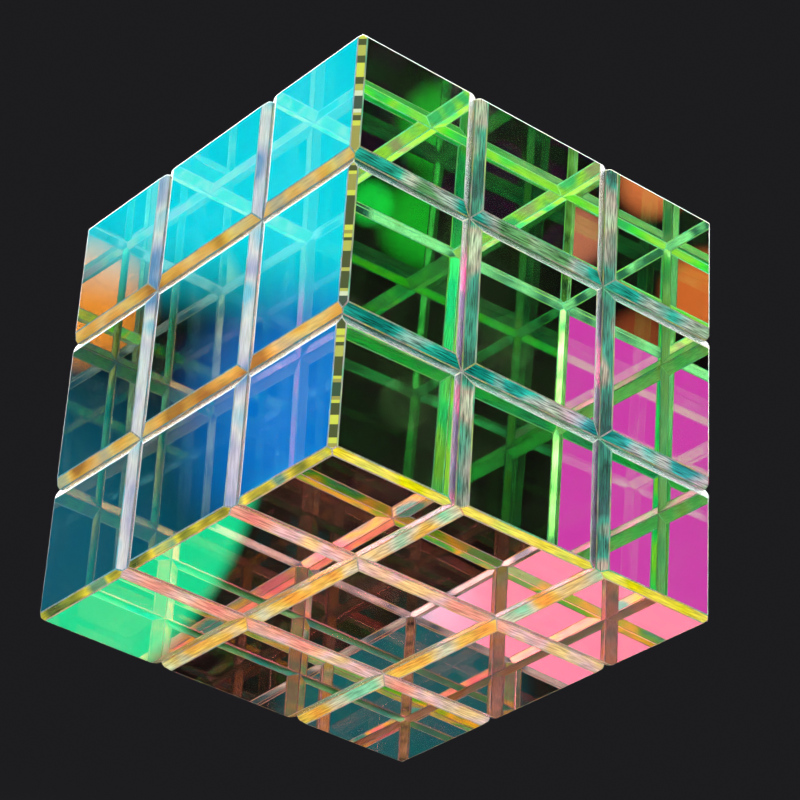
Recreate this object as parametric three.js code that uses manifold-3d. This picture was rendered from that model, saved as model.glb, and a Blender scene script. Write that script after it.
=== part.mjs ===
// A clear three-by-three-by-three turning cube puzzle with grooved faces.
// Millimetres, +Z up, the origin at the middle of the bottom face.
// Eight corners, twelve edges and six screwed centres stand on one ball core.
// Corner feet run under the edges, edge feet run under the centres, and the
// centres are held to the core, so every layer can turn about its own axis.

import * as THREE from 'three';
import { mergeVertices } from 'three/addons/utils/BufferGeometryUtils.js';
import Module from 'manifold-3d';

const wasm = await Module();
wasm.setup();

// Driving dimensions of the cube
const side = 57;
const half = side / 2;
const layerCut = 10.55;       // from the middle to the plane where an outer layer parts
const groove = { halfWidth: 1.45, depth: 0.65 };  // the shallow V between layers
const edgeLeg = 0.8;           // chamfer along the twelve outer edges
const play = 0.3;             // running gap between neighbouring flat faces
const ballPlay = 0.5;         // running gap between two ball faces

// Driving dimensions of the inner joint
const footCut = 5;            // plane where the feet under the blocks part
const shellRadius = 21.5;     // ball on which blocks end and feet begin
const ballRadius = 11.7;      // the core that all feet slide on
const capLine = 24;           // height of the joint between a centre and its cap

// Axle set, the same six times, measured out from the middle of the cube
const wellRadius = 3.6;
const wellFloor = 16;
const pinHole = 1.9;
const screw = { shaft: 1.5, tip: 5, head: 3, headFrom: 20.4, headTo: 22.4, socket: 1.3, socketDepth: 1.2 };
const spring = { outer: 3.2, inner: 1.9, from: 16.15, to: 19.5 };
const washer = { outer: 3.3, inner: 1.75, from: 19.65, to: 20.25 };
const plug = { radius: 3.35, from: 22.7 };
const coreBore = { radius: 1.7, floor: 4.4 };

const roundSides = 16;        // facets round a bore, a screw or a washer
const ballSides = 24;         // facets round a ball
const over = 2;               // how far a cutter runs past the piece that it cuts

// Finishes
const clearBlock = { color: 0xbfe9ee, roughness: 0.06, metalness: 0, transparent: true, opacity: 0.45 };
const finish = {
  corner: new THREE.MeshStandardMaterial({ ...clearBlock, color: 0x49c7dc }),
  edge: new THREE.MeshStandardMaterial({ ...clearBlock, color: 0x3fd39a }),
  centre: new THREE.MeshStandardMaterial({ ...clearBlock, color: 0xe39ad0 }),
  cap: new THREE.MeshStandardMaterial({ ...clearBlock, color: 0xf0b060 }),
  core: new THREE.MeshStandardMaterial(clearBlock),
  axle: new THREE.MeshStandardMaterial({ ...clearBlock, roughness: 0.2 }),
  spring: new THREE.MeshStandardMaterial({ ...clearBlock, roughness: 0.45 }),
};

// Between three.js shapes and solids that can be joined and cut

function toSolid(geometry) {
  const plain = geometry.clone();
  plain.deleteAttribute('normal');
  plain.deleteAttribute('uv');
  const merged = mergeVertices(plain, 1e-4);
  return new wasm.Manifold(new wasm.Mesh({
    numProp: 3,
    vertProperties: Float32Array.from(merged.attributes.position.array),
    triVerts: Uint32Array.from(merged.index.array),
  }));
}

function toGeometry(solid) {
  const mesh = solid.getMesh();
  const geometry = new THREE.BufferGeometry();
  geometry.setAttribute('position', new THREE.BufferAttribute(mesh.vertProperties, 3));
  geometry.setIndex(new THREE.BufferAttribute(mesh.triVerts, 1));
  geometry.computeVertexNormals();
  return geometry;
}

function join(solids) {
  return solids.reduce((all, next) => all.add(next));
}

// Plain shapes

function boxBetween(low, high) {
  const size = new THREE.Vector3().subVectors(high, low);
  const middle = new THREE.Vector3().addVectors(low, high).multiplyScalar(0.5);
  const geometry = new THREE.BoxGeometry(size.x, size.y, size.z);
  return toSolid(geometry.translate(middle.x, middle.y, middle.z));
}

function ball(radius) {
  const geometry = new THREE.SphereGeometry(radius, ballSides, ballSides / 2);
  return toSolid(geometry.rotateX(Math.PI / 2));
}

function rod(radius, from, to, sides = roundSides) {
  const geometry = new THREE.CylinderGeometry(radius, radius, to - from, sides);
  return toSolid(geometry.rotateX(Math.PI / 2).translate(0, 0, (from + to) / 2));
}

// A bar with a diamond section along one axis. It reaches as far from its middle
// as it is told each way, so it cuts a V groove in a face or a chamfer on an edge.
function cutterBar(axis, first, second, reachFirst, reachSecond) {
  const geometry = new THREE.BoxGeometry(side + over, Math.SQRT2, Math.SQRT2).rotateX(Math.PI / 4);
  geometry.scale(1, reachFirst, reachSecond).translate(0, first, second);
  if (axis === 'y') geometry.applyMatrix4(new THREE.Matrix4().makeRotationZ(Math.PI / 2));
  if (axis === 'z') geometry.applyMatrix4(new THREE.Matrix4().makeRotationY(Math.PI / 2));
  return toSolid(geometry);
}

// The whole cube, grooved along its layer planes and chamfered along its edges
function groovedCube() {
  const places = [-half, -layerCut, layerCut, half];
  const bars = [];
  for (const axis of ['x', 'y', 'z']) {
    for (const first of places) {
      for (const second of places) {
        const [firstOnFace, secondOnFace] = [first, second].map((place) => Math.abs(place) === half);
        if (firstOnFace && secondOnFace) bars.push(cutterBar(axis, first, second, edgeLeg, edgeLeg));
        else if (firstOnFace) bars.push(cutterBar(axis, first, second, groove.depth, groove.halfWidth));
        else if (secondOnFace) bars.push(cutterBar(axis, first, second, groove.halfWidth, groove.depth));
      }
    }
  }
  const corner = new THREE.Vector3(half, half, half);
  return boxBetween(corner.clone().negate(), corner).subtract(join(bars));
}

// One cell of a grid parted at plus and minus the given plane. A layer is 0 for
// the middle one and 1 for the outer one on the positive side.
function cell(plane, layers) {
  const low = layers.map((layer) => (layer === 0 ? -plane + play / 2 : plane + play / 2));
  const high = layers.map((layer) => (layer === 0 ? plane - play / 2 : half));
  return boxBetween(new THREE.Vector3(...low), new THREE.Vector3(...high));
}

const wholeCube = groovedCube();
const blockHollow = ball(shellRadius + ballPlay / 2);
const footBall = ball(shellRadius - ballPlay / 2);
const neckBall = ball(shellRadius + ballPlay);
const coreHollow = ball(ballRadius + ballPlay);

// A block of the cube with its foot: the foot is cut on closer planes than the
// block, so it reaches sideways under the next block and is held down by it.
function cubie(layers) {
  const blockCell = cell(layerCut, layers);
  const footCell = cell(footCut, layers);
  const block = wholeCube.intersect(blockCell).subtract(blockHollow);
  const neck = footCell.intersect(blockCell).intersect(neckBall);
  const foot = footCell.intersect(footBall);
  return join([block, neck, foot]).subtract(coreHollow);
}

const cornerShape = toGeometry(cubie([1, 1, 1]));
const edgeShape = toGeometry(cubie([0, 1, 1]));

// A centre parts into a body with a well for the axle set, and the cap over it
const wholeCentre = cubie([0, 0, 1]);

function slab(from, to) {
  return boxBetween(new THREE.Vector3(-half, -half, from), new THREE.Vector3(half, half, to));
}

const well = rod(wellRadius, wellFloor, half);
const centreBore = well.add(rod(pinHole, 0, half));
const bodyShape = toGeometry(wholeCentre.intersect(slab(0, capLine)).subtract(centreBore));
const capSlab = wholeCentre.intersect(slab(capLine + play / 2, half));
const capShape = toGeometry(capSlab.add(rod(plug.radius, plug.from, capLine + play)));

const screwHead = rod(screw.head, screw.headFrom, screw.headTo);
const screwSocket = rod(screw.socket, screw.headTo - screw.socketDepth, screw.headTo + over, 6);
const screwShaft = rod(screw.shaft, screw.tip, screw.headFrom + screw.socketDepth / 2);
const screwShape = toGeometry(screwHead.add(screwShaft).subtract(screwSocket));

function ring({ outer, inner, from, to }) {
  return toGeometry(rod(outer, from, to).subtract(rod(inner, from - over, to + over)));
}

const springShape = ring(spring);
const washerShape = ring(washer);

// The core, with one blind bore for each axle screw
function coreSolid() {
  const bore = new THREE.CylinderGeometry(coreBore.radius, coreBore.radius, ballRadius, roundSides);
  bore.translate(0, coreBore.floor + ballRadius / 2, 0);
  const bores = [
    bore.clone(),
    bore.clone().rotateX(Math.PI),
    bore.clone().rotateX(Math.PI / 2),
    bore.clone().rotateX(-Math.PI / 2),
    bore.clone().rotateZ(Math.PI / 2),
    bore.clone().rotateZ(-Math.PI / 2),
  ];
  return ball(ballRadius).subtract(join(bores.map(toSolid)));
}

// Assembly: every shape is made once on the positive side, then turned to its place

const cube = new THREE.Group();
cube.position.z = half;

function place(name, geometry, material, tip, turns) {
  const mesh = new THREE.Mesh(geometry, material);
  mesh.name = name;
  const tipped = new THREE.Quaternion().setFromEuler(tip);
  const turned = new THREE.Quaternion().setFromAxisAngle(new THREE.Vector3(0, 0, 1), turns * Math.PI / 2);
  mesh.quaternion.copy(turned.multiply(tipped));
  cube.add(mesh);
}

const upright = new THREE.Euler();
const upsideDown = new THREE.Euler(Math.PI, 0, 0);
const onItsSide = new THREE.Euler(0, Math.PI / 2, 0);

const cornerWays = ['back_right', 'back_left', 'front_left', 'front_right'];
const edgeWays = ['back', 'left', 'front', 'right'];
const centreWays = ['right', 'back', 'left', 'front'];

cornerWays.forEach((way, turns) => {
  place(`corner_top_${way}`, cornerShape, finish.corner, upright, turns);
  place(`corner_bottom_${cornerWays[(turns + 3) % 4]}`, cornerShape, finish.corner, upsideDown, turns);
  place(`edge_${way}`, edgeShape, finish.edge, onItsSide, turns);
});

edgeWays.forEach((way, turns) => {
  place(`edge_top_${way}`, edgeShape, finish.edge, upright, turns);
  place(`edge_bottom_${edgeWays[(turns + 2) % 4]}`, edgeShape, finish.edge, upsideDown, turns);
});

function placeCentre(way, tip, turns) {
  place(`centre_${way}`, bodyShape, finish.centre, tip, turns);
  place(`cap_${way}`, capShape, finish.cap, tip, turns);
  place(`axle_screw_${way}`, screwShape, finish.axle, tip, turns);
  place(`spring_sleeve_${way}`, springShape, finish.spring, tip, turns);
  place(`washer_${way}`, washerShape, finish.axle, tip, turns);
}

placeCentre('top', upright, 0);
placeCentre('bottom', upsideDown, 0);
centreWays.forEach((way, turns) => placeCentre(way, onItsSide, turns));

place('ball_core', toGeometry(coreSolid()), finish.core, upright, 0);

const part = new THREE.Group();
part.add(cube);

export default part;
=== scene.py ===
import math

import bpy
from mathutils import Matrix, Vector


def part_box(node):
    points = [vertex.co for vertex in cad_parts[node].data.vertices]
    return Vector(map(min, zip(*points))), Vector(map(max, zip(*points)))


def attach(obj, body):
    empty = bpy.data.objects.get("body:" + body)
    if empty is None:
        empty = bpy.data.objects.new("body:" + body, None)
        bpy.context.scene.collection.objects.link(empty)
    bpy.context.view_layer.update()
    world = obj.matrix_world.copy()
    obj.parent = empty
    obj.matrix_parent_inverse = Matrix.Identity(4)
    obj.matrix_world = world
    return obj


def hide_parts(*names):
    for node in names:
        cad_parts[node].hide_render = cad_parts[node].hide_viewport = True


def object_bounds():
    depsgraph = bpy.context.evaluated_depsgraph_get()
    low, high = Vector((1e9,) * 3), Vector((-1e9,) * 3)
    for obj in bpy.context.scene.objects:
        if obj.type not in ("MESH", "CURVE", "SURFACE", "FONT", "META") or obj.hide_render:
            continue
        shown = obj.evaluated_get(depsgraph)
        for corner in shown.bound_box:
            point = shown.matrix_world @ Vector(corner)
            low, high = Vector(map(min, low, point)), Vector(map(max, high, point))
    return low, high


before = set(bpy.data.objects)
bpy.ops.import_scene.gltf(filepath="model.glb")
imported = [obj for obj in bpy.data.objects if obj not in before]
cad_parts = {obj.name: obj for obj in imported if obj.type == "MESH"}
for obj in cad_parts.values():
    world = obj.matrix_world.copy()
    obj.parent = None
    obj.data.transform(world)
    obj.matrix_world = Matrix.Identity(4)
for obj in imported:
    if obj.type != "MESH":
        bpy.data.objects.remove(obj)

# ---- Place and camera ---------------------------------------------------------------
# The cube stands on its bottom face and is seen from below one of its corners, so its
# front, right and bottom faces show. Everything is placed from the middle of the cube.

cad_low, cad_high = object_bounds()
half = (cad_high.x - cad_low.x) / 2
middle = Vector((0, 0, (cad_low.z + cad_high.z) / 2))

camera_place = Vector((9.322, -7.099, -6.979)) * half
camera = bpy.data.objects.new("camera", bpy.data.cameras.new("camera"))
bpy.context.scene.collection.objects.link(camera)
bpy.context.scene.camera = camera
camera.data.sensor_width = 36
camera.data.lens = 142.4
camera.data.clip_start = 0.01
camera.data.clip_end = 50
camera.location = middle + camera_place
backwards = Vector((0.6785, -0.5227, -0.5162)).normalized()
rightwards = Vector((0.6347, 0.7709, 0.0538))
rightwards = (rightwards - backwards * rightwards.dot(backwards)).normalized()
camera_turn = Matrix((rightwards, backwards.cross(rightwards), backwards)).transposed()
camera.rotation_mode = "QUATERNION"
camera.rotation_quaternion = camera_turn.to_quaternion()

# Light crosses many clear faces on its way through the cube and back.
bpy.context.scene.cycles.max_bounces = 20
bpy.context.scene.cycles.transmission_bounces = 20
bpy.context.scene.cycles.glossy_bounces = 14
bpy.context.scene.cycles.transparent_max_bounces = 256
bpy.context.scene.view_settings.view_transform = "Standard"


# ---- Ball core ----------------------------------------------------------------------
# One clear cast ball in the middle of the cube. All the feet slide on it, and its six
# bores take the axle screws. Each bore is countersunk, so that a screw finds its way in.

core_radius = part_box("ball_core")[1].x
bore_radius = 0.0017
bore_floor = 0.0044
countersink = 0.0004
# Pieces that meet stand one or two slits apart, too little to see.
slit = 0.00002
quarter_turn = math.pi / 2
scuff_shade = 0.7


def start_from_nothing():
    bpy.ops.object.select_all(action="DESELECT")


def take_up(piece):
    start_from_nothing()
    piece.select_set(True)
    bpy.context.view_layer.objects.active = piece


def put_in_place(piece):
    """Applies the place, turn and size, so that the object itself lies at the origin."""
    take_up(piece)
    bpy.ops.object.transform_apply(location=True, rotation=True, scale=True)


def cut_with(piece, cutter, operation):
    """Joins the piece with another one, or cuts it, and uses the other one up."""
    take_up(piece)
    modifier = piece.modifiers.new("cut", "BOOLEAN")
    modifier.object = cutter
    modifier.operation = operation
    modifier.solver = "EXACT"
    bpy.ops.object.modifier_apply(modifier=modifier.name)
    bpy.data.objects.remove(cutter)


def round_ball(radius, segments=96):
    start_from_nothing()
    bpy.ops.mesh.primitive_uv_sphere_add(segments=segments, ring_count=segments // 2, radius=radius)
    return bpy.context.object


def turned(*outline, sides=48):
    """A piece turned about the vertical: a disc drawn up to each next height and radius."""
    start_from_nothing()
    height, radius = outline[0]
    bpy.ops.mesh.primitive_circle_add(
        vertices=sides, radius=radius, fill_type="NGON", location=(0, 0, height))
    piece = bpy.context.object
    put_in_place(piece)
    bpy.ops.object.mode_set(mode="EDIT")
    bpy.ops.mesh.select_all(action="SELECT")
    for next_height, next_radius in outline[1:]:
        rise = (0, 0, next_height - height)
        spread = next_radius / radius
        bpy.ops.mesh.extrude_region_move(TRANSFORM_OT_translate={"value": rise})
        bpy.ops.transform.resize(value=(spread, spread, 1), center_override=(0, 0, 0))
        height, radius = next_height, next_radius
    bpy.ops.mesh.select_all(action="SELECT")
    bpy.ops.mesh.normals_make_consistent(inside=False)
    bpy.ops.object.mode_set(mode="OBJECT")
    return piece


def smooth_round_faces(piece, angle):
    take_up(piece)
    bpy.ops.object.shade_smooth_by_angle(angle=math.radians(angle))


def blank_finish(name):
    """A new material with nothing in it but its output."""
    material = bpy.data.materials.new(name)
    material.use_nodes = True
    nodes, links = material.node_tree.nodes, material.node_tree.links
    nodes.clear()
    return material, nodes, links, nodes.new("ShaderNodeOutputMaterial")


def hidden_clear(name, tint, shown, roughness, scuffs):
    """Clear stuff of which only the shown share can be seen, with scuffs that darken its tint."""
    material, nodes, links, surface = blank_finish(name)
    passing = nodes.new("ShaderNodeBsdfTransparent")
    skin = nodes.new("ShaderNodeBsdfPrincipled")
    skin.inputs["Roughness"].default_value = roughness
    place = nodes.new("ShaderNodeTexCoord")
    marks = nodes.new("ShaderNodeTexNoise")
    marks.inputs["Scale"].default_value = scuffs
    marks.inputs["Detail"].default_value = 4
    links.new(place.outputs["Object"], marks.inputs["Vector"])
    wear = nodes.new("ShaderNodeMix")
    wear.data_type = "RGBA"
    wear.inputs[6].default_value = (*tint, 1)
    wear.inputs[7].default_value = (*[part * scuff_shade for part in tint], 1)
    links.new(marks.outputs[0], wear.inputs[0])
    links.new(wear.outputs[2], skin.inputs["Base Color"])
    shares = nodes.new("ShaderNodeMixShader")
    shares.inputs["Fac"].default_value = shown
    links.new(passing.outputs[0], shares.inputs[1])
    links.new(skin.outputs[0], shares.inputs[2])
    links.new(shares.outputs[0], surface.inputs["Surface"])
    return material


# Turns that take the top of the cube to each of its six sides.
six_ways = {
    "top": Matrix.Identity(3),
    "bottom": Matrix.Rotation(math.pi, 3, "X"),
    "right": Matrix.Rotation(quarter_turn, 3, "Y"),
    "back": Matrix.Rotation(quarter_turn, 3, "Z") @ Matrix.Rotation(quarter_turn, 3, "Y"),
    "left": Matrix.Rotation(math.pi, 3, "Z") @ Matrix.Rotation(quarter_turn, 3, "Y"),
    "front": Matrix.Rotation(-quarter_turn, 3, "Z") @ Matrix.Rotation(quarter_turn, 3, "Y"),
}

core = round_ball(core_radius)
for turn in six_ways.values():
    bore = turned(
        (bore_floor, bore_radius),
        (core_radius - countersink, bore_radius),
        (core_radius + countersink, bore_radius + 2 * countersink),
    )
    bore.matrix_world = turn.to_4x4()
    cut_with(core, bore, "DIFFERENCE")
smooth_round_faces(core, 12)
core.name = "cast_ball_core"
core.location = middle
put_in_place(core)
core.data.materials.clear()
core_resin = hidden_clear("core_resin", (0.8, 0.86, 0.9), shown=0.01, roughness=0.1, scuffs=900)
core.data.materials.append(core_resin)
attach(core, "middle_layer")
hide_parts("ball_core")


# ---- Axle sets ----------------------------------------------------------------------
# Six clear screws hold the centres to the core. Each has a hexagon socket in its head and
# a thread at its tip, and presses its centre down through a washer and a ribbed sleeve.

screw_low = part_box("axle_screw_top")[0].z - middle.z
screw_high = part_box("axle_screw_top")[1].z - middle.z
head_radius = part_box("axle_screw_top")[1].x
head_height = 0.002
shaft_radius = 0.0015
thread_root = 0.00128
thread_pitch = 0.0006
thread_length = 0.006
socket_radius = 0.0013
socket_depth = 0.0012
washer_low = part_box("washer_top")[0].z - middle.z
washer_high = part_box("washer_top")[1].z - middle.z
washer_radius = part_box("washer_top")[1].x
washer_hole = 0.00175
sleeve_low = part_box("spring_sleeve_top")[0].z - middle.z
sleeve_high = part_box("spring_sleeve_top")[1].z - middle.z
sleeve_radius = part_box("spring_sleeve_top")[1].x
sleeve_hole = 0.0019
sleeve_ribs = 4
rib_depth = 0.0003
# A rib rises to its crest, stays level and falls again, in shares of its step.
crest_from, crest_to, rib_to = 0.3, 0.6, 0.98
tip_radius = thread_root * 0.8
small_round = 0.0001
cutter_run = 0.0004

thread = []
for ring in range(int(thread_length / thread_pitch)):
    start = screw_low + (ring + 0.5) * thread_pitch
    thread += [(start, thread_root), (start + thread_pitch / 2, shaft_radius)]
axle_screw = turned(
    (screw_low, tip_radius),
    *thread,
    (screw_high - head_height, shaft_radius),
    (screw_high - head_height + small_round, head_radius),
    (screw_high - 2 * small_round, head_radius),
    (screw_high, head_radius - 2 * small_round),
    sides=32,
)
socket = turned(
    (screw_high - socket_depth, socket_radius),
    (screw_high + cutter_run, socket_radius),
    sides=6,
)
cut_with(axle_screw, socket, "DIFFERENCE")

washer = turned(
    (washer_low, washer_radius - small_round),
    (washer_low + small_round, washer_radius),
    (washer_high - small_round, washer_radius),
    (washer_high, washer_radius - small_round),
)
washer_bore = turned((washer_low - cutter_run, washer_hole), (washer_high + cutter_run, washer_hole))
cut_with(washer, washer_bore, "DIFFERENCE")

ribs = [(sleeve_low, sleeve_radius - rib_depth)]
rib_step = (sleeve_high - sleeve_low) / sleeve_ribs
for rib in range(sleeve_ribs):
    start = sleeve_low + rib * rib_step
    ribs += [
        (start + rib_step * crest_from, sleeve_radius),
        (start + rib_step * crest_to, sleeve_radius),
        (start + rib_step * rib_to, sleeve_radius - rib_depth),
    ]
spring_sleeve = turned(*ribs, sides=32)
sleeve_bore = turned((sleeve_low - cutter_run, sleeve_hole), (sleeve_high + cutter_run, sleeve_hole))
cut_with(spring_sleeve, sleeve_bore, "DIFFERENCE")

screw_plastic = hidden_clear(
    "screw_plastic", (0.85, 0.9, 0.95), shown=0.012, roughness=0.2, scuffs=1500)
washer_plastic = hidden_clear(
    "washer_plastic", (0.9, 0.9, 0.85), shown=0.012, roughness=0.25, scuffs=1500)
sleeve_silicone = hidden_clear(
    "sleeve_silicone", (0.85, 0.85, 0.9), shown=0.012, roughness=0.5, scuffs=2500)


def copy_to(pattern, name, turn, body, *nodes):
    """A copy of the pattern with a mesh of its own, turned to its place in the cube."""
    piece = pattern.copy()
    piece.data = pattern.data.copy()
    piece.name = name
    bpy.context.scene.collection.objects.link(piece)
    piece.matrix_world = Matrix.Translation(middle) @ turn.to_4x4()
    put_in_place(piece)
    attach(piece, body)
    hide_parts(*nodes)
    return piece


axle_parts = (
    (axle_screw, "clear_screw", "axle_screw", screw_plastic, "clear_plastic"),
    (washer, "clear_washer", "washer", washer_plastic, "clear_plastic"),
    (spring_sleeve, "ribbed_sleeve", "spring_sleeve", sleeve_silicone, "clear_silicone"),
)
for pattern, *_ in axle_parts:
    smooth_round_faces(pattern, 25)
for way, turn in six_ways.items():
    for pattern, name, node, finish, slot in axle_parts:
        piece = copy_to(pattern, f"{name}_{way}", turn, "middle_layer", f"{node}_{way}")
        piece.data.materials.append(finish)
for pattern, *_ in axle_parts:
    bpy.data.objects.remove(pattern)


# ---- Corner, edge and centre blocks -------------------------------------------------
# Blocks of optical glass with thin mirror coats on their polished outer faces. Ground V
# grooves run where layers part. Arrises and chamfers keep the edges from chipping. Feet
# under the blocks reach beneath their neighbours, so that nothing comes loose in a turn.

parting_gap = 0.0003
layer_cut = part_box("cap_top")[1].x + parting_gap / 2
foot_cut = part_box("corner_top_back_right")[0].x - parting_gap / 2
shell_radius = 0.0215
neck_overlap = 0.0001
groove_depth = 0.00065
groove_half_width = 0.00145
edge_leg = 0.0008
arris = 0.0001
tolerance = 0.0001
# How deep below the outer faces the ground glass reaches, with a little to spare.
ground_reach = max(groove_depth, edge_leg) + slit + tolerance
glass_index = 1.5


def cell(plane, layers):
    """A box between cuts. A layer is 0 for the middle one and 1 for an outer one."""
    low = Vector([plane + slit if layer else slit - plane for layer in layers])
    high = Vector([half if layer else plane - slit for layer in layers])
    start_from_nothing()
    bpy.ops.mesh.primitive_cube_add(size=1, location=(low + high) / 2, scale=high - low)
    piece = bpy.context.object
    put_in_place(piece)
    return piece


def choose_edges(piece, test):
    """In edit mode, selects the edges whose two ends pass the test."""
    bpy.ops.object.mode_set(mode="OBJECT")
    mesh = piece.data
    for part in (*mesh.vertices, *mesh.edges, *mesh.polygons):
        part.select = False
    for edge in mesh.edges:
        edge.select = test(*[mesh.vertices[end].co for end in edge.vertices])
    bpy.ops.object.mode_set(mode="EDIT")
    bpy.ops.mesh.select_mode(type="EDGE")


def plane_off(place, outward):
    """In edit mode, cuts away all that lies beyond a plane and closes the cut."""
    bpy.ops.mesh.select_all(action="SELECT")
    bpy.ops.mesh.bisect(plane_co=place, plane_no=outward.normalized(), use_fill=True, clear_outer=True)


def near_outside(*ends):
    """Whether points lie on the outer faces or in the ground glass beside them."""
    return all(max(abs(part) for part in end) > half - ground_reach for end in ends)


def ground_block(layers):
    """The block with half a V groove at each parting plane and a chamfer at each outer edge."""
    piece = cell(layer_cut, layers)
    bpy.ops.object.mode_set(mode="EDIT")
    for face in range(3):
        for side in range(3):
            if side == face or not layers[face]:
                continue
            for sign in (-1, 1):
                outer_edge = layers[side] and sign == 1
                place = Vector((0, 0, 0))
                place[face] = half - (edge_leg if outer_edge else groove_depth)
                place[side] = half if outer_edge else layer_cut if layers[side] else sign * layer_cut
                outward = Vector((0, 0, 0))
                outward[face] = 1 if outer_edge else groove_half_width
                outward[side] = sign if outer_edge else sign * groove_depth
                if not outer_edge or face < side:
                    plane_off(place, outward)
    choose_edges(piece, near_outside)
    bpy.ops.mesh.bevel(offset=arris, offset_type="OFFSET", segments=1, affect="EDGES")
    bpy.ops.object.mode_set(mode="OBJECT")
    return piece


def footed_block(layers):
    """The block stands on a neck and a foot, and its foot is hollow where the core sits."""
    piece = ground_block(layers)
    cut_with(piece, round_ball(shell_radius + slit), "DIFFERENCE")
    neck = cell(max(foot_cut, 0), layers)
    cut_with(neck, cell(layer_cut, layers), "INTERSECT")
    cut_with(neck, round_ball(shell_radius + neck_overlap), "INTERSECT")
    foot = cell(foot_cut, layers)
    cut_with(foot, round_ball(shell_radius - slit), "INTERSECT")
    cut_with(piece, neck, "UNION")
    cut_with(piece, foot, "UNION")
    cut_with(piece, round_ball(core_radius + 2 * slit), "DIFFERENCE")
    smooth_round_faces(piece, 6)
    return piece


def matched_glass():
    """Faces that meet another piece: glass on glass of the same kind, with nothing to see."""
    material, nodes, links, surface = blank_finish("matched_glass")
    passing = nodes.new("ShaderNodeBsdfTransparent")
    links.new(passing.outputs[0], surface.inputs["Surface"])
    return material


def mirror_coat(name, passed, mirrored, share):
    """A coat that mirrors a share of the light in one colour and passes the rest in another.

    From inside the glass the face mirrors all light that meets it at a low angle.
    """
    material, nodes, links, surface = blank_finish(name)
    glass = nodes.new("ShaderNodeBsdfRefraction")
    glass.inputs["Color"].default_value = (*passed, 1)
    glass.inputs["IOR"].default_value = glass_index
    glass.inputs["Roughness"].default_value = 0
    coat = nodes.new("ShaderNodeBsdfAnisotropic")
    coat.inputs["Color"].default_value = (*mirrored, 1)
    coat.inputs["Roughness"].default_value = 0
    within = nodes.new("ShaderNodeBsdfAnisotropic")
    within.inputs["Color"].default_value = (0.97, 0.97, 0.97, 1)
    within.inputs["Roughness"].default_value = 0
    fresnel = nodes.new("ShaderNodeFresnel")
    fresnel.inputs["IOR"].default_value = glass_index
    side = nodes.new("ShaderNodeNewGeometry")
    total = nodes.new("ShaderNodeMath")
    total.operation = "MULTIPLY"
    links.new(fresnel.outputs[0], total.inputs[0])
    links.new(side.outputs["Backfacing"], total.inputs[1])
    shares = nodes.new("ShaderNodeMixShader")
    shares.inputs["Fac"].default_value = share
    links.new(glass.outputs[0], shares.inputs[1])
    links.new(coat.outputs[0], shares.inputs[2])
    both = nodes.new("ShaderNodeMixShader")
    links.new(total.outputs[0], both.inputs["Fac"])
    links.new(shares.outputs[0], both.inputs[1])
    links.new(within.outputs[0], both.inputs[2])
    links.new(both.outputs[0], surface.inputs["Surface"])
    return material


# A streak's scale along the grinding and across it, and how far the drift of tints reaches.
streak_along, streak_across = 450, 8000
drift_from, drift_to = 0.34, 0.66


def ground_glass(name, run, tints, frost, darkest, drift_scale):
    """Glass ground along one axis: fine streaks, in tints that drift from place to place."""
    material, nodes, links, surface = blank_finish(name)
    place = nodes.new("ShaderNodeTexCoord")
    drawn_out = nodes.new("ShaderNodeMapping")
    scales = [streak_along if axis == run else streak_across for axis in "xyz"]
    drawn_out.inputs["Scale"].default_value = scales
    links.new(place.outputs["Object"], drawn_out.inputs["Vector"])
    streaks = nodes.new("ShaderNodeTexNoise")
    streaks.inputs["Scale"].default_value = 1
    streaks.inputs["Detail"].default_value = 3
    links.new(drawn_out.outputs[0], streaks.inputs["Vector"])
    drift = nodes.new("ShaderNodeTexNoise")
    drift.inputs["Scale"].default_value = drift_scale
    drift.inputs["Detail"].default_value = 1
    links.new(place.outputs["Object"], drift.inputs["Vector"])
    ramp = nodes.new("ShaderNodeValToRGB")
    links.new(drift.outputs[0], ramp.inputs[0])
    stops = ramp.color_ramp.elements
    stops[0].position, stops[1].position = drift_from, drift_to
    stops[0].color, stops[1].color = (*tints[0], 1), (*tints[-1], 1)
    drift_step = (drift_to - drift_from) / (len(tints) - 1)
    for number, tint in enumerate(tints[1:-1], 1):
        stops.new(drift_from + drift_step * number).color = (*tint, 1)
    shade = nodes.new("ShaderNodeMapRange")
    shade.inputs["From Min"].default_value = 0.35
    shade.inputs["From Max"].default_value = 0.65
    shade.inputs["To Min"].default_value = darkest
    shade.inputs["To Max"].default_value = 1
    links.new(streaks.outputs[0], shade.inputs["Value"])
    colour = nodes.new("ShaderNodeMix")
    colour.data_type = "RGBA"
    colour.blend_type = "MULTIPLY"
    colour.inputs["Factor"].default_value = 1
    links.new(ramp.outputs[0], colour.inputs[6])
    links.new(shade.outputs[0], colour.inputs[7])
    relief = nodes.new("ShaderNodeBump")
    relief.inputs["Strength"].default_value = 0.4
    relief.inputs["Distance"].default_value = 0.0001
    links.new(streaks.outputs[0], relief.inputs["Height"])
    glass = nodes.new("ShaderNodeBsdfPrincipled")
    glass.inputs["Roughness"].default_value = 0.18
    glass.inputs["IOR"].default_value = glass_index
    glass.inputs["Transmission Weight"].default_value = 1 - frost
    links.new(colour.outputs[2], glass.inputs["Base Color"])
    links.new(relief.outputs[0], glass.inputs["Normal"])
    bright = nodes.new("ShaderNodeBsdfTranslucent")
    links.new(colour.outputs[2], bright.inputs["Color"])
    both = nodes.new("ShaderNodeMixShader")
    both.inputs["Fac"].default_value = 0.3
    links.new(glass.outputs[0], both.inputs[1])
    links.new(bright.outputs[0], both.inputs[2])
    links.new(both.outputs[0], surface.inputs["Surface"])
    return material


# How close together the bands of painted reflection lie up the near chamfer.
dash_scale = 180


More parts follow.
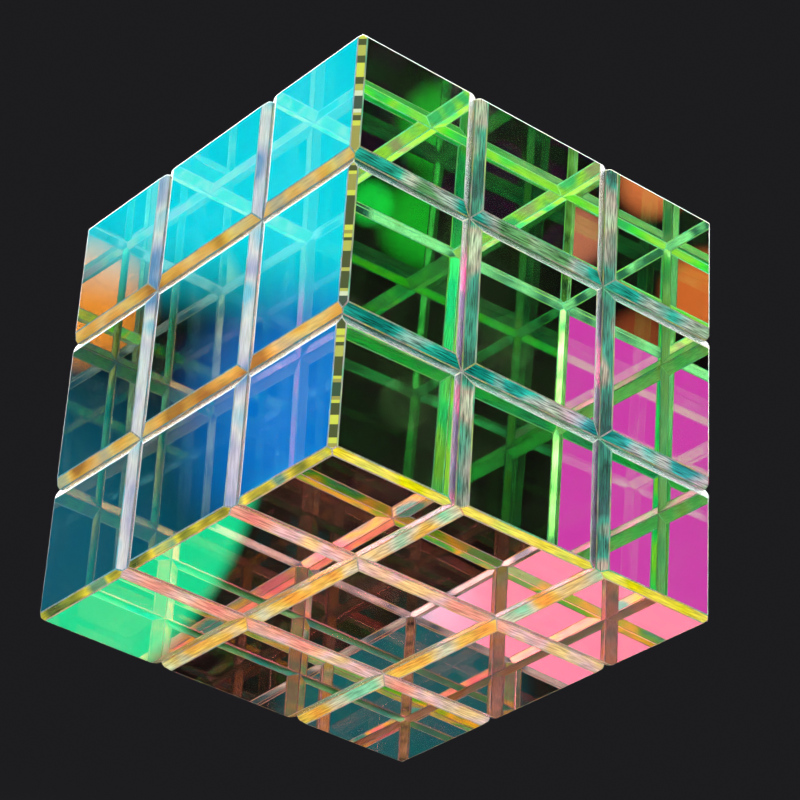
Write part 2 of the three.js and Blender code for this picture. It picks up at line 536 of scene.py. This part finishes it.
def dashed_glass(name):
    """An upright chamfer painted with dark and bright bands up its height: a painted reflection of the
    dark and bright parts of the cube that it shows by turns.
    """
    material, nodes, links, surface = blank_finish(name)
    place = nodes.new("ShaderNodeTexCoord")
    height = nodes.new("ShaderNodeMapping")
    height.inputs["Scale"].default_value = (0, 0, dash_scale)
    links.new(place.outputs["Object"], height.inputs["Vector"])
    dashes = nodes.new("ShaderNodeTexNoise")
    dashes.inputs["Scale"].default_value = 1
    dashes.inputs["Detail"].default_value = 1
    links.new(height.outputs[0], dashes.inputs["Vector"])
    ramp = nodes.new("ShaderNodeValToRGB")
    ramp.color_ramp.interpolation = "CONSTANT"
    links.new(dashes.outputs[0], ramp.inputs[0])
    stops = ramp.color_ramp.elements
    # Dark and bright stops in turn: the painted reflection of parts of the cube.
    stops[0].position, stops[0].color = 0, (0.03, 0.06, 0.03, 1)
    stops[1].position, stops[1].color = 0.38, (0.22, 0.2, 0.05, 1)
    for start, tint in (
        (0.44, (0.4, 0.42, 0.05)),
        (0.48, (0.05, 0.06, 0.02)),
        (0.53, (0.3, 0.3, 0.06)),
        (0.57, (0.42, 0.45, 0.3)),
        (0.63, (0.04, 0.06, 0.04)),
    ):
        stops.new(start).color = (*tint, 1)
    glass = nodes.new("ShaderNodeBsdfPrincipled")
    glass.inputs["Roughness"].default_value = 0.2
    glass.inputs["IOR"].default_value = glass_index
    links.new(ramp.outputs[0], glass.inputs["Base Color"])
    links.new(glass.outputs[0], surface.inputs["Surface"])
    return material


matched = matched_glass()
# For each coat, the colour that it passes, the one that it mirrors, and the share that it mirrors.
coats = {
    "front": mirror_coat("coat_front", (0.3, 0.32, 0.28), (0.0, 0.52, 0.62), 0.25),
    "right": mirror_coat("coat_right", (0.38, 1.0, 0.38), (0.8, 0.1, 0.5), 0.1),
    "bottom": mirror_coat("coat_bottom", (0.85, 0.33, 0.32), (0.0, 0.9, 0.45), 0.25),
    "top": mirror_coat("coat_top", (1.0, 0.38, 0.6), (0.7, 0.9, 0.3), 0.07),
    "back": mirror_coat("coat_back", (1.0, 0.4, 0.12), (0.1, 0.7, 0.8), 0.2),
    "left": mirror_coat("coat_left", (1.0, 0.02, 0.45), (0.0, 0.95, 0.35), 0.2),
}
# The tints of the groove walls, for each side of the cube and each axis that they run along.
wall_tints = {
    ("front", "z"): ((0.12, 0.3, 0.7), (0.6, 0.62, 0.9), (0.9, 0.95, 1), (0.2, 0.7, 0.95)),
    ("front", "x"): ((0.5, 0.22, 0.03), (0.95, 0.55, 0.08), (0.95, 0.75, 0.25), (0.55, 0.6, 0.4)),
    ("right", "z"): ((0.02, 0.14, 0.12), (0.05, 0.5, 0.35), (0.75, 0.6, 0.5), (0.85, 0.95, 0.7)),
    ("right", "y"): ((0, 0.4, 0.3), (0.02, 0.85, 0.65), (0.7, 0.95, 0.85), (0.15, 0.6, 0.2)),
    ("bottom", "x"): ((1, 0.45, 0.05), (1, 0.7, 0.1), (0.8, 0.85, 0.6), (0.25, 0.85, 0.5)),
    ("bottom", "y"): ((0.95, 0.3, 0.25), (1, 0.5, 0.35), (0.9, 0.65, 0.7), (1, 0.75, 0.3)),
    ("top", "x"): ((1, 0.3, 0.4), (1, 0.55, 0.35), (1, 0.9, 0.05), (0.05, 0.55, 0.4)),
    ("top", "y"): ((0, 0.65, 0.3), (0.1, 1, 0.02), (1, 0.95, 0.05), (0.2, 0.95, 0.2)),
    ("back", "x"): ((0.9, 0.55, 0.1), (0.9, 0.9, 0.55), (0.3, 0.9, 0.4)),
    ("back", "z"): ((0.1, 0.7, 0.4), (0.85, 0.95, 0.7), (0.95, 0.75, 0.1)),
    ("left", "y"): ((0, 0.75, 0.15), (0.05, 1, 0.2), (0, 0.6, 0.4)),
    ("left", "z"): ((0, 0.6, 0.35), (0.02, 0.95, 0.25), (0.7, 0.9, 0.05)),
}
# How much of its brightness a streak keeps, where the sides differ from the usual.
darkest_streaks = {"front": 0.7, "right": 0.15, "bottom": 0.4}
usual_darkest = 0.55
# How much of their brightness the tints keep on the wall with painted shade.
wall_painted_shade = 0.45
wall_drift = 150
walls = {}
for (side, run), tints in wall_tints.items():
    darkest = darkest_streaks.get(side, usual_darkest)
    # The same tints darkened: painted shade for one wall of each groove.
    painted_shade_tints = [[part * wall_painted_shade for part in tint] for tint in tints]
    walls[side, run, False] = ground_glass(f"ground_{side}_{run}", run, tints, 0.5, darkest, wall_drift)
    walls[side, run, True] = ground_glass(
        f"painted_shade_ground_{side}_{run}", run, painted_shade_tints, 0.3, darkest, wall_drift)
ice, pearl, straw = (0.2, 0.45, 0.55), (0.38, 0.4, 0.36), (0.4, 0.5, 0.15)
arris_tints = {
    "front": (ice, pearl, (0.1, 0.45, 0.6)),
    "right": (straw, pearl, (0.1, 0.5, 0.25)),
    "bottom": ((0.6, 0.35, 0.12), pearl, (0.6, 0.5, 0.2)),
}
# All the arrises take upright streaks, whichever way they run.
arrises = {}
for side in six_ways:
    tints = arris_tints.get(side, (straw, pearl, ice))
    arrises[side] = ground_glass(f"arris_{side}", "z", tints, frost=0.8, darkest=0.4, drift_scale=300)
yellow = ((0.75, 0.8, 0.0), (0.95, 0.95, 0.1), (0.5, 0.85, 0.1))
# Painted shade: near-black tints for the high chamfers, which the glass shows as dark lines.
high_chamfer_painted_shade = ((0.01, 0.04, 0.05), (0.04, 0.12, 0.16), (0.5, 0.7, 0.6))
moss = ((0.1, 0.16, 0.03), (0.35, 0.38, 0.03), (0.9, 0.85, 0.05), (0.15, 0.4, 0.25))
olive = ((0.02, 0.06, 0.03), (0.3, 0.4, 0.1), (0.6, 0.75, 0.3))
chamfers = {
    "low": ground_glass("chamfer_low", "y", yellow, frost=0.6, darkest=0.5, drift_scale=150),
    "low_front": ground_glass("chamfer_low_front", "x", moss, frost=0.5, darkest=0.5, drift_scale=200),
    "high": ground_glass("chamfer_high", "x", high_chamfer_painted_shade, frost=0.5, darkest=0.5, drift_scale=150),
    "upright": ground_glass("chamfer_upright", "z", olive, frost=0.3, darkest=0.5, drift_scale=250),
    "near": dashed_glass("chamfer_near"),
}
finishes = [matched, *coats.values(), *walls.values(), *arrises.values(), *chamfers.values()]
sides = {
    "right": (0, 1),
    "left": (0, -1),
    "back": (1, 1),
    "front": (1, -1),
    "top": (2, 1),
    "bottom": (2, -1),
}

# The wall that looks left, back or up is ground finer than the other one, and its tints are darkened as
# painted shade, so that one wall of each groove looks shaded.
painted_shade_ground = (-1, 1, 1)
# How a face leans: each part of its normal, without a sign, against these.
square_on, edge_on, lean_play = 0.99, 0.01, 0.02
wall_lean = groove_depth / math.hypot(groove_depth, groove_half_width)
chamfer_lean = 0.707


def finish_for(place, normal):
    """The finish of a face, told by where it lies on the cube and which way it looks."""
    out = place - middle
    depths = {side: half - sign * out[axis] for side, (axis, sign) in sides.items()}
    side = min(depths, key=depths.get)
    if depths[side] > ground_reach:
        return matched
    lean = sorted(abs(part) for part in normal)
    if lean[2] > square_on:
        outer_face = depths[side] < tolerance and abs(normal[sides[side][0]]) > square_on
        return coats[side] if outer_face else matched
    on_wall = abs(lean[1] - wall_lean) < lean_play
    on_chamfer = abs(lean[1] - chamfer_lean) < lean_play
    if lean[0] < edge_on and (on_wall or on_chamfer):
        run = next(axis for number, axis in enumerate("xyz") if abs(normal[number]) < edge_on)
        if on_wall:
            across = 3 - sides[side][0] - "xyz".index(run)
            # The wall that looks left, back or up takes the copy with painted shade.
            return walls[side, run, normal[across] * painted_shade_ground[across] > 0]
        if run == "z":
            # The upright chamfer at the front right corner takes the painted reflection.
            return chamfers["near" if out.x > 0 > out.y else "upright"]
        if out.z > 0:
            return chamfers["high"]
        return chamfers["low" if run == "y" else "low_front"]
    return arrises[side]


def lay_finishes(piece):
    for finish in finishes:
        piece.data.materials.append(finish)
    for face in piece.data.polygons:
        face.material_index = finishes.index(finish_for(face.center, face.normal))


corner_block = footed_block([1, 1, 1])
edge_block = footed_block([0, 1, 1])
corner_ways = ["back_right", "back_left", "front_left", "front_right"]
edge_ways = ["back", "left", "front", "right"]
upside_down, on_its_side = six_ways["bottom"], six_ways["right"]
blocks = []
for turns in range(4):
    about = Matrix.Rotation(turns * quarter_turn, 3, "Z")
    way, way_below = corner_ways[turns], corner_ways[turns - 1]
    blocks += [
        copy_to(corner_block, f"glass_corner_top_{way}", about, "top_layer", f"corner_top_{way}"),
        copy_to(corner_block, f"glass_corner_bottom_{way_below}", about @ upside_down, "bottom_layer",
                f"corner_bottom_{way_below}"),
        copy_to(edge_block, f"glass_edge_{way}", about @ on_its_side, "middle_layer", f"edge_{way}"),
    ]
    way, way_below = edge_ways[turns], edge_ways[turns - 2]
    blocks += [
        copy_to(edge_block, f"glass_edge_top_{way}", about, "top_layer", f"edge_top_{way}"),
        copy_to(edge_block, f"glass_edge_bottom_{way_below}", about @ upside_down, "bottom_layer",
                f"edge_bottom_{way_below}"),
    ]
for kind in (corner_block, edge_block):
    bpy.data.objects.remove(kind)


# ---- Centres and their caps ---------------------------------------------------------
# A centre is a glass body with a well for its axle set. A glass cap closes the well with a
# round plug, and carries the coated face and the ground walls that show.

cap_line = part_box("centre_top")[1].z - middle.z
plug_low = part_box("cap_top")[0].z - middle.z
plug_radius = 0.00335
well_radius = 0.0036
well_floor = 0.016
pin_hole = 0.0019
overrun = 0.001

centre_body = footed_block([0, 0, 1])
centre_cap = centre_body.copy()
centre_cap.data = centre_body.data.copy()
bpy.context.scene.collection.objects.link(centre_cap)
for piece, operation, start in (
    (centre_body, "DIFFERENCE", cap_line),
    (centre_cap, "INTERSECT", cap_line + slit),
):
    start_from_nothing()
    bpy.ops.mesh.primitive_cube_add(
        size=1, location=(0, 0, start + half / 2), scale=(2 * half, 2 * half, half))
    above_line = bpy.context.object
    put_in_place(above_line)
    cut_with(piece, above_line, operation)
cut_with(centre_body, turned((well_floor, well_radius), (cap_line + overrun, well_radius)), "DIFFERENCE")
cut_with(centre_body, turned((0, pin_hole), (well_floor + overrun, pin_hole)), "DIFFERENCE")
plug = turned(
    (plug_low, plug_radius - small_round),
    (plug_low + small_round, plug_radius),
    (cap_line + overrun, plug_radius),
)
cut_with(centre_cap, plug, "UNION")
centres = []
for way, turn in six_ways.items():
    body = f"{way}_layer" if way in ("top", "bottom") else "middle_layer"
    centres.append(copy_to(centre_body, f"glass_centre_{way}", turn, body, f"centre_{way}"))
    blocks.append(copy_to(centre_cap, f"glass_cap_{way}", turn, body, f"cap_{way}"))
for piece in blocks:
    lay_finishes(piece)
# A centre body has no face of its own outside, and a trace of it shows through its cap.
body_glass = hidden_clear("body_glass", (0.8, 0.88, 0.9), shown=0.006, roughness=0.08, scuffs=700)
for piece in centres:
    piece.data.materials.append(body_glass)
for pattern in (centre_body, centre_cap):
    bpy.data.objects.remove(pattern)


# ---- Studio -------------------------------------------------------------------------
# Soft boxes in a dim room light the cube from all round, and narrow coloured ones are aimed
# to show as patches in its faces. The pale floor is seen from above only, so that light and
# the camera reach the underside.

world = bpy.data.worlds.new("studio")
bpy.context.scene.world = world
world.use_nodes = True
nodes, links = world.node_tree.nodes, world.node_tree.links
nodes.clear()
room = nodes.new("ShaderNodeOutputWorld")
glow = nodes.new("ShaderNodeBackground")
links.new(glow.outputs[0], room.inputs[0])
direction = nodes.new("ShaderNodeTexCoord")
heights = nodes.new("ShaderNodeSeparateXYZ")
links.new(direction.outputs["Generated"], heights.inputs[0])
from_floor = nodes.new("ShaderNodeMapRange")
from_floor.inputs["From Min"].default_value = -1
from_floor.inputs["From Max"].default_value = 1
links.new(heights.outputs["Z"], from_floor.inputs["Value"])
room_light = nodes.new("ShaderNodeValToRGB")
links.new(from_floor.outputs[0], room_light.inputs[0])
stops = room_light.color_ramp.elements
stops[0].position, stops[0].color = 0.0, (0.5, 0.48, 0.45, 1)
stops[1].position, stops[1].color = 1.0, (0.05, 0.05, 0.055, 1)
for place, colour in (
    (0.12, (0.2, 0.19, 0.18)),
    (0.19, (0.012, 0.012, 0.014)),
    (0.32, (0.012, 0.012, 0.014)),
    (0.47, (0.15, 0.15, 0.15)),
    (0.5, (0.3, 0.3, 0.31)),
    (0.6, (0.05, 0.05, 0.055)),
    (0.7, (0.012, 0.012, 0.014)),
    (0.85, (0.012, 0.012, 0.014)),
):
    stops.new(place).color = (*colour, 1)


def add_soft_box(light, azimuth, elevation, full, faded, colour):
    """A round soft box on the sky: the angle out to which it is full, and where it has faded.

    All angles are in degrees, and the azimuth runs from right to back.
    """
    turn, tilt = math.radians(azimuth), math.radians(elevation)
    aim = (math.cos(turn) * math.cos(tilt), math.sin(turn) * math.cos(tilt), math.sin(tilt))
    near = nodes.new("ShaderNodeVectorMath")
    near.operation = "DOT_PRODUCT"
    near.inputs[1].default_value = aim
    links.new(direction.outputs["Generated"], near.inputs[0])
    spread = nodes.new("ShaderNodeMapRange")
    spread.interpolation_type = "SMOOTHSTEP"
    spread.inputs["From Min"].default_value = math.cos(math.radians(faded))
    spread.inputs["From Max"].default_value = math.cos(math.radians(full))
    links.new(near.outputs["Value"], spread.inputs["Value"])
    added = nodes.new("ShaderNodeMix")
    added.data_type = "RGBA"
    added.blend_type = "ADD"
    added.inputs[7].default_value = (*colour, 1)
    links.new(spread.outputs[0], added.inputs[0])
    links.new(light, added.inputs[6])
    return added.outputs[2]


light = room_light.outputs[0]
for azimuth, elevation, full, faded, colour in (
    # High on the left, towards the front
    (214, 47.2, 13.3, 15.2, (5, 5, 5)),
    (230, 32, 10.5, 12, (2.4, 3.4, 3.4)),
    (216.3, 30.5, 0.5, 3.3, (0.2, 1.3, 4)),
    (216.8, 27.5, 0.8, 2.8, (0, 4.5, 3.5)),
    (210, 27, 1, 5, (0.1, 0.6, 0.85)),
    # Broad ones from above, from below and from all round
    (0, 90, 18, 32, (22, 22, 22)),
    (0, -90, 14, 26, (3.5, 3.5, 3.5)),
    (0, 45, 10, 22, (1.5, 3, 2.4)),
    (90, 45, 10, 22, (13, 13, 13)),
    (180, 45, 10, 22, (14, 14, 14)),
    (270, 45, 10, 22, (1.2, 2.6, 3)),
    (285, -25, 9, 18, (7, 7, 7)),
    (0, -27, 9, 18, (7, 7, 7)),
    (322, -62, 9, 18, (7, 7, 7)),
    (322, 2, 9, 15, (6, 6, 6)),
    # Narrow ones for single patches and glows
    (322, 25.6, 1.4, 2.6, (0, 1.1, 0.8)),
    (152, -30, 5.7, 6.1, (1, 3, 2.3)),
    (30.8, -32.3, 0.4, 1.4, (5, 4, 1.5)),
    (38.2, -36, 0.2, 1, (0.6, 2, 1)),
    (37.9, -34.3, 0.2, 1, (0.6, 2, 1)),
    (36.7, -34.6, 0.1, 0.5, (0.6, 3, 3)),
    (222.9, -35.2, 0.25, 0.8, (2.4, 12, 0.4)),
    (224, -33.2, 0.35, 0.9, (2.4, 10, 0.2)),
    (221.2, -34.2, 0.2, 0.7, (1.8, 11, 0.6)),
    (222.6, -32.3, 0.2, 0.7, (0.8, 3, 0.1)),
):
    light = add_soft_box(light, azimuth, elevation, full, faded, colour)
links.new(light, glow.inputs["Color"])

start_from_nothing()
bpy.ops.mesh.primitive_plane_add(size=10, location=(0, 0, cad_low.z - 2 * slit))
floor = bpy.context.object
floor.name = "floor"
paper, nodes, links, surface = blank_finish("pale_paper")
matt = nodes.new("ShaderNodeBsdfDiffuse")
matt.inputs["Color"].default_value = (0.115, 0.113, 0.11, 1)
open_air = nodes.new("ShaderNodeBsdfTransparent")
ray = nodes.new("ShaderNodeLightPath")
side = nodes.new("ShaderNodeNewGeometry")
seen_from_above = nodes.new("ShaderNodeMath")
seen_from_above.operation = "SUBTRACT"
seen_from_above.use_clamp = True
links.new(ray.outputs["Is Camera Ray"], seen_from_above.inputs[0])
links.new(side.outputs["Backfacing"], seen_from_above.inputs[1])
shares = nodes.new("ShaderNodeMixShader")
links.new(seen_from_above.outputs[0], shares.inputs["Fac"])
links.new(open_air.outputs[0], shares.inputs[1])
links.new(matt.outputs[0], shares.inputs[2])
links.new(shares.outputs[0], surface.inputs["Surface"])
floor.data.materials.append(paper)
